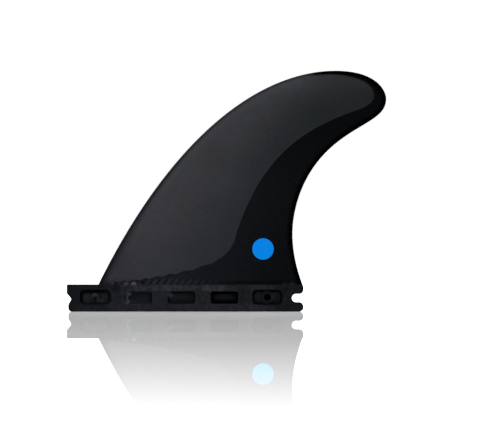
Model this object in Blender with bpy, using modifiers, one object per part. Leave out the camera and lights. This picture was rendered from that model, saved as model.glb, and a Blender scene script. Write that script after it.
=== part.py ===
"""Surfboard fin with one long base tab, moulded in one piece.

Units are metres and +Z is up. The origin is the middle of the tab's bottom face, +X runs towards the
trailing edge, and the thickness lies along Y. Both faces are alike.
"""
import math

import bmesh
import bpy
from mathutils import Matrix, Vector
from mathutils.geometry import interpolate_bezier

# Base tab, seen from the side
TAB_LENGTH = 0.113
TAB_DEPTH = 0.0129
TAB_THICKNESS = 0.007
TAB_RIM = 0.00025            # chamfer of the edges round both faces
TAB_CORNER = 0.0004          # rounding of the upper front corner
TAB_HEEL = 0.001             # rounding of the upper rear corner, where the trailing edge runs in

# Notch in the tab's front end
NOTCH_SPAN = 0.0054
NOTCH_DEPTH = 0.0022
NOTCH_DROP = 0.0004          # how far the notch's middle lies below the tab's
NOTCH_ROOT = 0.0008
NOTCH_LIP = 0.0006
TOE_INSET = 0.0007           # the tab is shorter by this below the notch
TOE_CORNER = 0.0017

# Slot in the tab's rear end, at half its depth
SLOT_WIDTH = 0.004
SLOT_DEPTH = 0.0055
SLOT_LIP = 0.002
REAR_CORNER = 0.002

# Row of pockets in both sides of the tab, with a larger one at each end of the row
POCKET_COUNT = 5
ROW_FRONT = 0.0136           # from the tab's front end to the first pocket's middle
ROW_REAR = 0.0172            # from the last pocket's middle to the tab's rear end
END_POCKET_LENGTH = 0.0148
END_POCKET_ROOF = 0.0023     # solid left above the pocket
END_POCKET_FLOOR = 0.0031    # solid left below it
END_POCKET_CORNER = 0.0023
END_POCKET_WEB = 0.0038      # left between the pockets of the two sides
INNER_POCKET_RIB = 0.0073    # left between one inner pocket and the next
INNER_POCKET_ROOF = 0.0032
INNER_POCKET_FLOOR = 0.004
INNER_POCKET_CORNER = 0.001
INNER_POCKET_WEB = 0.0022

# Round boss with a blind hole, in each end pocket
BOSS_SETBACK = 0.0007        # how far its face lies below the tab's side
FRONT_BOSS_MOAT = 0.0015     # free width above and below it in the pocket
FRONT_HOLE_DIAMETER = 0.0014
FRONT_HOLE_WEB = 0.0042      # left between the holes of the two sides
REAR_BOSS_MOAT = 0.0007
REAR_HOLE_DIAMETER = 0.0028
REAR_HOLE_WEB = 0.0016

# Blade outline, seen from the side: where its curves meet
BLADE_HEIGHT = 0.1022        # from the tab's top to the highest point
FRONT_SHOULDER = 0.015       # tab left bare in front of the leading edge
REAR_SHOULDER = 0.0004       # tab left bare behind the trailing edge
TIP_OVERHANG = 0.0396        # how far the tip reaches past the tab
TIP_RUN = 0.0242             # from the highest point back to the tip's end
TIP_DROP = 0.0135            # from the highest point down to the tip's end
NECK_RUN = 0.0233            # from the tip's end forward to where the trailing edge turns hollow
NECK_DROP = 0.0341           # from the highest point down to there
WAIST_INSET = 0.0048         # how far the hollow cuts in from the trailing edge's foot
WAIST_HEIGHT = 0.0244        # height of the deepest cut above the tab

# Directions of those curves where they meet
LEVEL = 0.0
UPRIGHT = math.radians(90)
LEAD_ANGLE = math.radians(63.7)
NECK_ANGLE = math.radians(38)
TRAIL_ANGLE = math.radians(110.4)

# Fullness of each curve at its two ends, as a share of the distance that it spans
LEAD_FULLNESS = (0.532, 0.229)
CROWN_FULLNESS = (0.711, 0.145)
TRAIL_FULLNESS = (0.145, 0.468)
HOLLOW_FULLNESS = (0.121, 0.519)
HOOK_FULLNESS = (0.499, 0.284)

# Blade section
ROOT_LEDGE = 0.0004          # how far the tab stands out on each side of the blade's root
EDGE_THICKNESS = 0.0008
TAPER = 0.8                  # power of the chord that the thickness follows
BLADE_SINK = 0.0008          # how far the blade runs down into the tab
SECTION = (0.2969, -0.1260, -0.3516, 0.2843, -0.1036)
SECTION_SCALE = 10           # brings the section's greatest half thickness to 1

# Fineness of the faceted surfaces
CURVE_STEPS = 64
BLADE_RINGS = 56
RING_COLUMNS = 18
CORNER_STEPS = 6
ROUND_SIDES = 32

MERGE = 0.000001
FLATNESS = math.radians(0.1)
RIM_SHARPNESS = math.radians(60)
CUT_MARGIN = 0.001           # how far a cutter stands out of the face that it cuts
LOBE_SHARE = 0.47            # most of a lobe's height that one rounded corner takes
HALF_LENGTH = TAB_LENGTH / 2
HALF_THICKNESS = TAB_THICKNESS / 2
BLADE_TOP = TAB_DEPTH + BLADE_HEIGHT
ROOT_THICKNESS = TAB_THICKNESS - 2 * ROOT_LEDGE
POCKET_PITCH = (TAB_LENGTH - ROW_FRONT - ROW_REAR) / (POCKET_COUNT - 1)
FRONT_POCKET = ROW_FRONT - HALF_LENGTH
REAR_POCKET = HALF_LENGTH - ROW_REAR
END_POCKET_HEIGHT = TAB_DEPTH - END_POCKET_ROOF - END_POCKET_FLOOR
BOSS_LEVEL = END_POCKET_FLOOR + END_POCKET_HEIGHT / 2
SIDES = (-1, 1)


def clear_scene():
    for old in list(bpy.data.objects):
        bpy.data.objects.remove(old, do_unlink=True)


def new_collection(name):
    collection = bpy.data.collections.new(name)
    bpy.context.scene.collection.children.link(collection)
    return collection


def place(name, mesh, collection):
    thing = bpy.data.objects.new(name, mesh)
    collection.objects.link(thing)
    return thing


def rounded(corners):
    """Runs round a flat outline whose corners are (x, z, radius), with an arc at each one."""
    points = []
    for index, (x, z, radius) in enumerate(corners):
        corner = Vector((x, z))
        before = (Vector(corners[index - 1][:2]) - corner).normalized()
        after = (Vector(corners[(index + 1) % len(corners)][:2]) - corner).normalized()
        half_angle = before.angle(after) / 2
        centre = corner + (before + after).normalized() * radius / math.sin(half_angle)
        start = corner + before * radius / math.tan(half_angle) - centre
        end = corner + after * radius / math.tan(half_angle) - centre
        sweep = start.angle_signed(end)
        for step in range(CORNER_STEPS + 1):
            turn = Matrix.Rotation(-sweep * step / CORNER_STEPS, 2)
            points.append(centre + turn @ start)
    return points


def plate(name, outline, near, far, collection):
    """A flat outline in the XZ plane, made solid along Y from near to far."""
    curve = bpy.data.curves.new(name, "CURVE")
    curve.dimensions = "2D"
    curve.fill_mode = "BOTH"
    curve.extrude = abs(far - near) / 2
    spline = curve.splines.new("POLY")
    spline.points.add(len(outline) - 1)
    for point, corner in zip(spline.points, outline):
        point.co = (corner.x, corner.y, 0, 1)
    spline.use_cyclic_u = True
    drawn = place(name + "_outline", curve, collection)
    depsgraph = bpy.context.evaluated_depsgraph_get()
    mesh = bpy.data.meshes.new_from_object(drawn.evaluated_get(depsgraph))
    bpy.data.objects.remove(drawn, do_unlink=True)
    solid = bmesh.new()
    solid.from_mesh(mesh)
    bmesh.ops.remove_doubles(solid, verts=solid.verts, dist=MERGE)
    stand = Matrix.Translation((0, (near + far) / 2, 0)) @ Matrix.Rotation(UPRIGHT, 4, "X")
    bmesh.ops.transform(solid, matrix=stand, verts=solid.verts)
    bmesh.ops.dissolve_limit(solid, angle_limit=FLATNESS, verts=solid.verts, edges=solid.edges)
    bmesh.ops.recalc_face_normals(solid, faces=solid.faces)
    solid.to_mesh(mesh)
    solid.free()
    mesh.name = name
    return place(name, mesh, collection)


def pins(name, spans, collection):
    """Round pins along Y at the bosses' level, each given as (x, diameter, near, far)."""
    solid = bmesh.new()
    for x, diameter, near, far in spans:
        middle = Matrix.Translation((x, (near + far) / 2, BOSS_LEVEL))
        lie = middle @ Matrix.Rotation(UPRIGHT, 4, "X")
        bmesh.ops.create_cone(solid, cap_ends=True, segments=ROUND_SIDES, radius1=diameter / 2,
                              radius2=diameter / 2, depth=abs(far - near), matrix=lie)
    mesh = bpy.data.meshes.new(name)
    solid.to_mesh(mesh)
    solid.free()
    return place(name, mesh, collection)


def tab_outline():
    """The tab from the side: a notch at its front end, and a slot open to the rear."""
    toe = TOE_INSET - HALF_LENGTH
    notch_middle = TAB_DEPTH / 2 - NOTCH_DROP
    slot_top = (TAB_DEPTH + SLOT_WIDTH) / 2
    slot_foot = (TAB_DEPTH - SLOT_WIDTH) / 2
    slot_end = HALF_LENGTH - SLOT_DEPTH
    slot_round = SLOT_WIDTH / 2 - MERGE
    lip = min(SLOT_LIP, slot_foot * LOBE_SHARE)
    rear_corner = min(REAR_CORNER, slot_foot * LOBE_SHARE)
    return rounded([
        (-HALF_LENGTH, TAB_DEPTH, TAB_CORNER),
        (HALF_LENGTH, TAB_DEPTH, TAB_HEEL),
        (HALF_LENGTH, slot_top, lip),
        (slot_end, slot_top, slot_round),
        (slot_end, slot_foot, slot_round),
        (HALF_LENGTH, slot_foot, lip),
        (HALF_LENGTH, 0, rear_corner),
        (toe, 0, TOE_CORNER),
        (toe, notch_middle - NOTCH_SPAN / 2, NOTCH_LIP),
        (NOTCH_DEPTH - HALF_LENGTH, notch_middle, NOTCH_ROOT),
        (-HALF_LENGTH, notch_middle + NOTCH_SPAN / 2, NOTCH_LIP),
    ])


def join(name, things, collection):
    """Puts the shapes of several objects into one object."""
    shape = bmesh.new()
    for thing in things:
        shape.from_mesh(thing.data)
        bpy.data.objects.remove(thing, do_unlink=True)
    mesh = bpy.data.meshes.new(name)
    shape.to_mesh(mesh)
    shape.free()
    return place(name, mesh, collection)


def pocket(middle, length, floor, roof, corner, web, collection):
    """Cutters for one pocket in each side of the tab."""
    front = middle - length / 2
    back = middle + length / 2
    top = TAB_DEPTH - roof
    outline = rounded([
        (front, top, corner),
        (back, top, corner),
        (back, floor, corner),
        (front, floor, corner),
    ])
    mouth = HALF_THICKNESS + CUT_MARGIN
    return [plate("pocket", outline, side * web / 2, side * mouth, collection) for side in SIDES]


def pocket_row(collection):
    pockets = []
    for middle in (FRONT_POCKET, REAR_POCKET):
        pockets += pocket(middle, END_POCKET_LENGTH, END_POCKET_FLOOR, END_POCKET_ROOF, END_POCKET_CORNER,
                          END_POCKET_WEB, collection)
    for index in range(1, POCKET_COUNT - 1):
        middle = FRONT_POCKET + index * POCKET_PITCH
        pockets += pocket(middle, POCKET_PITCH - INNER_POCKET_RIB, INNER_POCKET_FLOOR, INNER_POCKET_ROOF,
                          INNER_POCKET_CORNER, INNER_POCKET_WEB, collection)
    return join("pockets", pockets, collection)


def bosses(collection):
    """Bosses in the end pockets, which reach from the middle of the web to just below the tab's side."""
    face = HALF_THICKNESS - BOSS_SETBACK
    spans = []
    for middle, moat in ((FRONT_POCKET, FRONT_BOSS_MOAT), (REAR_POCKET, REAR_BOSS_MOAT)):
        diameter = END_POCKET_HEIGHT - 2 * moat
        for side in SIDES:
            spans.append((middle, diameter, side * END_POCKET_WEB / 4, side * face))
    return pins("bosses", spans, collection)


def boss_holes(collection):
    front = (FRONT_POCKET, FRONT_HOLE_DIAMETER, FRONT_HOLE_WEB)
    rear = (REAR_POCKET, REAR_HOLE_DIAMETER, REAR_HOLE_WEB)
    spans = []
    for middle, diameter, web in (front, rear):
        for side in SIDES:
            spans.append((middle, diameter, side * web / 2, side * (HALF_THICKNESS + CUT_MARGIN)))
    return pins("boss_holes", spans, collection)


def way(angle):
    return Vector((math.cos(angle), math.sin(angle)))


def bend(start, start_angle, end, end_angle, fullness):
    """A curve that leaves the start and reaches the end in the directions of travel given."""
    span = (end - start).length
    first = start + way(start_angle) * span * fullness[0]
    last = end - way(end_angle) * span * fullness[1]
    return interpolate_bezier(start, first, last, end, CURVE_STEPS)


def foot_in_tab(foot, angle):
    """Follows an edge of the blade from its foot down into the tab."""
    return foot - way(angle) * BLADE_SINK / math.sin(angle)


def blade_edges():
    """The leading and the trailing edge, each from inside the tab up to the tip's end."""
    lead_foot = Vector((FRONT_SHOULDER - HALF_LENGTH, TAB_DEPTH))
    trail_foot = Vector((HALF_LENGTH - REAR_SHOULDER, TAB_DEPTH))
    tip = Vector((HALF_LENGTH + TIP_OVERHANG, BLADE_TOP - TIP_DROP))
    crown = Vector((tip.x - TIP_RUN, BLADE_TOP))
    neck = Vector((tip.x - NECK_RUN, BLADE_TOP - NECK_DROP))
    waist = Vector((trail_foot.x - WAIST_INSET, TAB_DEPTH + WAIST_HEIGHT))
    lead = [foot_in_tab(lead_foot, LEAD_ANGLE)]
    lead += bend(lead_foot, LEAD_ANGLE, crown, LEVEL, LEAD_FULLNESS)
    lead += bend(crown, LEVEL, tip, -UPRIGHT, CROWN_FULLNESS)[1:]
    trail = [foot_in_tab(trail_foot, TRAIL_ANGLE)]
    trail += bend(trail_foot, TRAIL_ANGLE, waist, UPRIGHT, TRAIL_FULLNESS)
    trail += bend(waist, UPRIGHT, neck, NECK_ANGLE, HOLLOW_FULLNESS)[1:]
    trail += bend(neck, NECK_ANGLE, tip, UPRIGHT, HOOK_FULLNESS)[1:]
    return lead, trail


def even_steps(points, count):
    """Points at equal lengths along a run of points."""
    lengths = [0.0]
    for before, after in zip(points, points[1:]):
        lengths.append(lengths[-1] + (after - before).length)
    steps = []
    index = 0
    for step in range(count + 1):
        target = lengths[-1] * step / count
        while index < len(points) - 2 and lengths[index + 1] < target:
            index += 1
        share = (target - lengths[index]) / (lengths[index + 1] - lengths[index])
        steps.append(points[index].lerp(points[index + 1], share))
    return steps


def section(share):
    """Half thickness of the foil at a share of its chord, with 1 as its greatest."""
    root, *rest = SECTION
    curved = sum(factor * share ** (power + 1) for power, factor in enumerate(rest))
    return SECTION_SCALE * max(0.0, root * math.sqrt(share) + curved)


def edge_round(distance):
    """Grows from 0 at the rim to 1 at half the edge's thickness in from it, as a round edge does."""
    inward = min(1.0, distance / (EDGE_THICKNESS / 2))
    return math.sqrt(1 - (1 - inward) ** 2)


def half_ring(lead, trail, root_chord):
    """One face of the foil, from the leading to the trailing edge."""
    chord = (trail - lead).length
    swell = (ROOT_THICKNESS - EDGE_THICKNESS) * (chord / root_chord) ** TAPER
    ring = []
    for column in range(RING_COLUMNS + 1):
        share = (1 - math.cos(math.pi * column / RING_COLUMNS)) / 2
        rim = edge_round(share * chord) * edge_round((1 - share) * chord)
        half = (EDGE_THICKNESS * rim + swell * section(share)) / 2
        spot = lead.lerp(trail, share)
        ring.append(Vector((spot.x, -half, spot.y)))
    ring[0].y = 0
    ring[-1].y = 0
    return ring


def blade(collection):
    """A loft of foil sections that fan round from the tab to the tip, mirrored to the other face."""
    lead, trail = (even_steps(edge, BLADE_RINGS) for edge in blade_edges())
    root_chord = (trail[0] - lead[0]).length
    skin = bmesh.new()
    rings = []
    for front, back in zip(lead[:-1], trail[:-1]):
        rings.append([skin.verts.new(spot) for spot in half_ring(front, back, root_chord)])
    for lower, upper in zip(rings, rings[1:]):
        for column in range(RING_COLUMNS):
            skin.faces.new((lower[column], lower[column + 1], upper[column + 1], upper[column]))
    tip = skin.verts.new((lead[-1].x, 0, lead[-1].y))
    for before, after in zip(rings[-1], rings[-1][1:]):
        skin.faces.new((before, after, tip))
    skin.faces.new(reversed(rings[0]))
    bmesh.ops.triangulate(skin, faces=skin.faces)
    mesh = bpy.data.meshes.new("blade")
    skin.to_mesh(mesh)
    skin.free()
    shape = place("blade", mesh, collection)
    mirror = shape.modifiers.new("other_face", "MIRROR")
    mirror.use_axis = (False, True, False)
    mirror.merge_threshold = MERGE
    return shape


def combine(body, other, operation):
    other.hide_render = True
    other.display_type = "WIRE"
    modifier = body.modifiers.new(other.name, "BOOLEAN")
    modifier.operation = operation
    modifier.solver = "EXACT"
    modifier.object = other


def black_composite():
    """Dark moulded composite with a satin face."""
    material = bpy.data.materials.new("black_composite")
    material.use_nodes = True
    shader = material.node_tree.nodes["Principled BSDF"]
    shader.inputs["Base Color"].default_value = (0.028, 0.030, 0.033, 1)
    shader.inputs["Metallic"].default_value = 0
    shader.inputs["Roughness"].default_value = 0.45
    return material


def build_fin():
    parts = new_collection("surfboard_fin")
    guides = new_collection("cutters")
    fin = plate("fin", tab_outline(), -HALF_THICKNESS, HALF_THICKNESS, parts)
    rim = fin.modifiers.new("tab_rim", "BEVEL")
    rim.width = TAB_RIM
    rim.segments = 1
    rim.limit_method = "ANGLE"
    rim.angle_limit = RIM_SHARPNESS
    combine(fin, pocket_row(guides), "DIFFERENCE")
    combine(fin, bosses(guides), "UNION")
    combine(fin, boss_holes(guides), "DIFFERENCE")
    combine(fin, blade(guides), "UNION")
    fin.data.materials.append(black_composite())


clear_scene()
build_fin()
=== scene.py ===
"""Looks of the surfboard fin: a foiled blade with pale facings, ribs at its foot, a print, and its base tab.

Lengths are metres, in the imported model's frame: the origin is the middle of the tab's bottom face, +X runs
towards the trailing edge, Y is the thickness, and +Z is up. The near face looks towards -Y.
"""
import math

import bmesh
import bpy
from mathutils import Matrix, Vector


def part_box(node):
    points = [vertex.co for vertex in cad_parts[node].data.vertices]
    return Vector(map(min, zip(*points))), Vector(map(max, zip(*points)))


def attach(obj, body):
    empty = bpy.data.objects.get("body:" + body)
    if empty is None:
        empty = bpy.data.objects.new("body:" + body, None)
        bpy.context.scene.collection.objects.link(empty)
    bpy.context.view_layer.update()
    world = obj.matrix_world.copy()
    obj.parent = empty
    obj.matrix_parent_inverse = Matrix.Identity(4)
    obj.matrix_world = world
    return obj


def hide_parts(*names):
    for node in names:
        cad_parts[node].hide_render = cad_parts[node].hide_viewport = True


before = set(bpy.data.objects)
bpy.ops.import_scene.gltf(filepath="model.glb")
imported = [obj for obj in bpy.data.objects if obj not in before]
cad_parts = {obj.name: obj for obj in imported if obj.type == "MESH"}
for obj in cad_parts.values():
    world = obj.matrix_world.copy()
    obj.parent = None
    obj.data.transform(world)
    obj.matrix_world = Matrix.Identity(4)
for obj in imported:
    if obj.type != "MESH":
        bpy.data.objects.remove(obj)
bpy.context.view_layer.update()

# Outer sizes, read from the frame
LOW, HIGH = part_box("fin")
TAB_FRONT = LOW.x
TAB_REAR = -LOW.x
TAB_SIDE = HIGH.y
TIP_END = HIGH.x
BLADE_TOP = HIGH.z

# Base tab, with a V notch in front and a slot behind
TAB_DEPTH = 0.0129
TAB_CORNER = 0.0004
TAB_HEEL = 0.001
NOTCH_SPAN = 0.0054
NOTCH_DEPTH = 0.0022
NOTCH_DROP = 0.0004
NOTCH_ROOT = 0.0008
NOTCH_LIP = 0.0006
TOE_INSET = 0.0007
TOE_CORNER = 0.0017
SLOT_WIDTH = 0.004
SLOT_DEPTH = 0.0055
SLOT_LIP = 0.002
TAB_EDGE = 0.00018
TAB_EDGE_STEPS = 3
SHARP_ANGLE = 40
ARC_STEPS = 12

# Pockets in the tab's sides, whose walls slope for the mould
POCKET_COUNT = 5
FRONT_POCKET = TAB_FRONT + 0.0136
REAR_POCKET = TAB_REAR - 0.0172
POCKET_PITCH = (REAR_POCKET - FRONT_POCKET) / (POCKET_COUNT - 1)
END_POCKET = {
    "length": 0.0148, "low": 0.0031, "high": 0.0106, "corner": 0.0023, "floor": 0.0019, "draft": 0.0013,
}
INNER_POCKET = {
    "length": 0.0132, "low": 0.0037, "high": 0.0097, "corner": 0.001, "floor": 0.0011, "draft": 0.001,
}
CUT_MARGIN = 0.001

# Bosses in the end pockets
BOSS_LEVEL = (END_POCKET["low"] + END_POCKET["high"]) / 2
BOSS_FACE = TAB_SIDE - 0.0007
FRONT_BOSS = {"middle": FRONT_POCKET, "diameter": 0.0046, "hole": 0.0014, "hole_floor": 0.0021}
REAR_BOSS = {"middle": REAR_POCKET, "diameter": 0.0062, "hole": 0.0028, "hole_floor": 0.0008}
PIN_SIDES = 64

# Blade section: SECTION holds the factors for the powers 0.5, 1, 2, 3 and 4 of the share of the chord
ROOT_THICKNESS = 2 * TAB_SIDE - 0.0008
EDGE_THICKNESS = 0.0008
SECTION = (0.2969, -0.1260, -0.3516, 0.2843, -0.1036)
SECTION_SCALE = 10
TAPER = 0.8
BLADE_SINK = 0.0008
BLADE_RINGS = 240
BLADE_COLUMNS = 112

# Blade outline: where its curves meet, seen from the side
LEAD_FOOT = Vector((TAB_FRONT + 0.015, TAB_DEPTH))
TRAIL_FOOT = Vector((TAB_REAR - 0.0004, TAB_DEPTH))
TIP = Vector((TIP_END, BLADE_TOP - 0.0135))
CROWN = Vector((TIP.x - 0.0242, BLADE_TOP))
NECK = Vector((TIP.x - 0.0233, BLADE_TOP - 0.0341))
WAIST = Vector((TRAIL_FOOT.x - 0.0048, TAB_DEPTH + 0.0244))
LEAD_ANGLE = 63.7
NECK_ANGLE = 38
TRAIL_ANGLE = 110.4

# Pale facing: where the curves round it meet
FACING_HEEL = LEAD_FOOT + Vector((0.0019, 0.0008))
FACING_KNEE = Vector((0.0120, 0.0228))
FACING_SHIN = Vector((0.0246, 0.0371))
FACING_NECK = Vector((0.0831, 0.0965))
FACING_TIP = Vector((0.0905, 0.1032))
FACING_CROWN = Vector((0.0652, 0.1134))
KNEE_ANGLE = 24
SHIN_ANGLE = 72
FACING_NECK_ANGLE = 19
FACING_CROWN_ANGLE = 5
KNEE_FULLNESS = (0.225, 0.218)
STRAIGHT = (1 / 3, 1 / 3)

# Laid skins: how far each stands out of the blade, and the width over which its rim rounds off
FACING_PROUD = 0.00008
PRINT_PROUD = 0.00005
RIB_BASE_PROUD = 0.00002
SKIN_TUCK = 0.00006
SKIN_RIM = 0.00025
SKIN_WALL = 0.0003
FACING_GRID = (160, 300)
RIB_GRID = (28, 400)
PRINT_GRID = (40, 60)

# Ribs between the facing and the tab, which lean back
RIB_PITCH = 0.003308
RIB_PLACE = 0.00254
RIB_HEIGHT = 0.0002
RIB_LEAN = 0.68
RIB_TOP = 0.0158
RIB_TOP_FADE = 0.0006
RIB_FADE_START = 0.012
RIB_FADE_END = 0.019
RIB_END = 0.020
RIB_TOP_END = Vector((RIB_END, FACING_KNEE.y + 0.005))
RIB_TOP_ANGLE = 44
RIB_TOP_FULLNESS = (0.3, 0.3)
RIB_FOOT_START = LEAD_FOOT + Vector((0.0006, -0.0003))

# Scallops in the facing's lower edge: their depth, where one is, how many a metre there, and how that drops
SCALLOP_DEPTH = 0.00064
SCALLOP_PLACE = -0.0003
SCALLOP_RATE = 129.5
SCALLOP_RATE_DROP = 1547

# Round print
PRINT_MIDDLE = Vector((0.0372, 0.0299))
PRINT_RADIUS = 0.0058
PRINT_RING = 0.0007
CIRCLE_FULLNESS = (0.3905, 0.3905)

# Camera, from the photograph's frame of 500 by 436 pixels, and the point that the lamps face
PIXEL = 2 * TAB_REAR / 236.35
CAMERA_MIDDLE = Vector(((250 - 185.175) * PIXEL, (311.5 - 218) * PIXEL))
SENSOR = 36
LENS = 360
CAMERA_DISTANCE = 500 * PIXEL * LENS / SENSOR
LAMP_TARGET = Vector((0.01, 0, 0.05))

# Floor: its reflection is strong at the fin, and gone where the mirrored height reaches FADE_HEIGHT
MIRROR_SHARE = 0.594
MIRROR_GAIN = 3.2
MIRROR_HOLD = 1.21
FADE_HEIGHT = 0.0468
FLOOR_SIZE = 12
FLOOR_GLOW = 0.46
WORLD_FILL = 0.65

# Paint: the sheen that a specular level of 1 adds, the tab's levels, and the grey above which spots are mauve
SHEEN_SHARE = 0.1
TAB_SPECULAR = 0.04
POCKET_SPECULAR = 0.01
POCKET_SHEEN = 0.0005
PALE_TONE = 35

# Borders of the row of pockets, inside which the pockets have their own tones
ROW_FRONT = -0.0505
ROW_REAR = 0.0470
ROW_LOW = 0.0028
ROW_HIGH = 0.0109

# Radius of the dark spot in the rear hole, and the width over which a sharp change of tone goes
HOLE_SHADE = 0.0018
HAIR = 0.0001

UPRIGHT = math.radians(90)
MERGE = 0.000002
NEAR_TO_FAR = Matrix.Scale(-1, 4, (0, 1, 0))


def way(degrees):
    """The direction at this angle in the side view, where 0 runs towards the trailing edge."""
    return Vector((math.cos(math.radians(degrees)), math.sin(math.radians(degrees))))


def standing(point):
    """A point of the side view, in the plane through the fin's middle."""
    return Vector((point.x, 0, point.y))


def place(name, data):
    """An object in the scene, at the origin."""
    thing = bpy.data.objects.new(name, data)
    bpy.context.scene.collection.objects.link(thing)
    return thing


class Wire:
    """A number in a node tree. Arithmetic on it adds Math nodes."""

    def __init__(self, tree, socket):
        self.tree = tree
        self.socket = socket

    def math(self, operation, *others):
        node = self.tree.nodes.new("ShaderNodeMath")
        node.operation = operation
        for socket, value in zip(node.inputs, (self, *others)):
            connect(self.tree, value, socket)
        return Wire(self.tree, node.outputs[0])

    def __add__(self, other):
        return self.math("ADD", other)

    def __sub__(self, other):
        return self.math("SUBTRACT", other)

    def __mul__(self, other):
        return self.math("MULTIPLY", other)

    def __truediv__(self, other):
        return self.math("DIVIDE", other)

    def __pow__(self, other):
        return self.math("POWER", other)

    def taken_from(self, number):
        return self * -1 + number

    def low(self, other):
        return self.math("MINIMUM", other)

    def high(self, other):
        return self.math("MAXIMUM", other)

    def rise(self, start, end):
        """Goes softly from 0 at the start to 1 at the end."""
        node = self.tree.nodes.new("ShaderNodeMapRange")
        node.interpolation_type = "SMOOTHSTEP"
        connect(self.tree, self, node.inputs["Value"])
        connect(self.tree, start, node.inputs["From Min"])
        connect(self.tree, end, node.inputs["From Max"])
        return Wire(self.tree, node.outputs["Result"])

    def fall(self, start, end):
        return self.rise(start, end).taken_from(1)

    def rounded(self, width):
        """Goes from 0 to 1 over the width as a quarter circle does."""
        inward = (self / width).low(1.0)
        return (inward.taken_from(1) ** 2).taken_from(1).high(0.0) ** 0.5


def connect(tree, value, socket):
    """Gives an input socket a wire, another socket or a plain value."""
    if isinstance(value, Wire):
        tree.links.new(value.socket, socket)
    elif isinstance(value, bpy.types.NodeSocket):
        tree.links.new(value, socket)
    else:
        socket.default_value = value


def add_node(tree, kind, settings=None, **values):
    """A node with its settings, and with inputs given by name, where _ stands for a space."""
    node = tree.nodes.new(kind)
    for name, setting in (settings or {}).items():
        setattr(node, name, setting)
    for name, value in values.items():
        connect(tree, value, node.inputs[name.replace("_", " ")])
    return node


def guide(name, start, *stretches):
    """A curve in the side view. Each stretch has an end, travel at both its ends, and its fullness there."""
    curve = bpy.data.curves.new(name, "CURVE")
    curve.dimensions = "3D"
    curve.resolution_u = 64
    spline = curve.splines.new("BEZIER")
    spline.bezier_points.add(len(stretches))
    for point in spline.bezier_points:
        point.handle_left_type = "FREE"
        point.handle_right_type = "FREE"
    spline.bezier_points[0].co = standing(start)
    spline.bezier_points[0].handle_left = standing(start)
    for index, (end, leave, arrive, fullness) in enumerate(stretches):
        span = (end - start).length
        before, after = spline.bezier_points[index], spline.bezier_points[index + 1]
        before.handle_right = standing(start + way(leave) * span * fullness[0])
        after.co = standing(end)
        after.handle_left = standing(end - way(arrive) * span * fullness[1])
        after.handle_right = standing(end)
        start = end
    return place(name, curve)


def new_geometry_tree(name, sizes):
    """A Geometry Nodes tree whose inputs are (name, socket type), with a wire or socket for each."""
    tree = bpy.data.node_groups.new(name, "GeometryNodeTree")
    tree.interface.new_socket("Geometry", in_out="INPUT", socket_type="NodeSocketGeometry")
    for size, kind in sizes:
        tree.interface.new_socket(size, in_out="INPUT", socket_type="NodeSocket" + kind)
    tree.interface.new_socket("Geometry", in_out="OUTPUT", socket_type="NodeSocketGeometry")
    source = tree.nodes.new("NodeGroupInput")
    given = {size: source.outputs[size] for size, kind in sizes}
    for size, kind in sizes:
        if kind == "Float":
            given[size] = Wire(tree, given[size])
    return tree, given


def end_geometry_tree(tree, geometry, material):
    whole = add_node(tree, "GeometryNodeRealizeInstances", Geometry=geometry)
    shaded = add_node(tree, "GeometryNodeSetShadeSmooth", Geometry=whole.outputs[0])
    coated = add_node(tree, "GeometryNodeSetMaterial", Geometry=shaded.outputs[0], Material=material)
    tree.links.new(coated.outputs[0], tree.nodes.new("NodeGroupOutput").inputs[0])


def grid_shares(tree, columns, rows):
    """A flat grid with the share of the way across and along it at each point."""
    grid = add_node(tree, "GeometryNodeMeshGrid", Size_X=1.0, Size_Y=1.0, Vertices_X=columns, Vertices_Y=rows)
    position = add_node(tree, "GeometryNodeInputPosition")
    split = add_node(tree, "ShaderNodeSeparateXYZ", Vector=position.outputs[0])
    across = Wire(tree, split.outputs["X"]) + 0.5
    along = Wire(tree, split.outputs["Y"]) + 0.5
    return grid.outputs["Mesh"], across, along


def point_on(tree, curve_object, share):
    """The point at a share of a curve's length, as its x and z."""
    curve = add_node(tree, "GeometryNodeObjectInfo", Object=curve_object)
    sample = add_node(tree, "GeometryNodeSampleCurve", {"mode": "FACTOR"}, Curves=curve.outputs["Geometry"],
                      Factor=share)
    split = add_node(tree, "ShaderNodeSeparateXYZ", Vector=sample.outputs["Position"])
    return Wire(tree, split.outputs["X"]), Wire(tree, split.outputs["Z"])


def distance_between(first, second):
    return ((first[0] - second[0]) ** 2 + (first[1] - second[1]) ** 2) ** 0.5


def distance_to(tree, curve_object, x, z):
    """The shortest way from a point to a curve, in the side view."""
    curve = add_node(tree, "GeometryNodeObjectInfo", Object=curve_object)
    line = add_node(tree, "GeometryNodeCurveToMesh", Curve=curve.outputs["Geometry"])
    spot = add_node(tree, "ShaderNodeCombineXYZ", X=x, Z=z)
    near = add_node(tree, "GeometryNodeProximity", {"target_element": "EDGES"}, Geometry=line.outputs["Mesh"],
                    Sample_Position=spot.outputs[0])
    return Wire(tree, near.outputs["Distance"])


def between(first, second, share):
    return [start + (end - start) * share for start, end in zip(first, second)]


def store(tree, geometry, name, value):
    node = add_node(tree, "GeometryNodeStoreNamedAttribute", {"data_type": "FLOAT", "domain": "POINT"},
                    Geometry=geometry, Name=name, Value=value)
    return node.outputs[0]


def moved(tree, geometry, x, y, z):
    spot = add_node(tree, "ShaderNodeCombineXYZ", X=x, Y=y, Z=z)
    node = add_node(tree, "GeometryNodeSetPosition", Geometry=geometry, Position=spot.outputs[0])
    return node.outputs[0]


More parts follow.
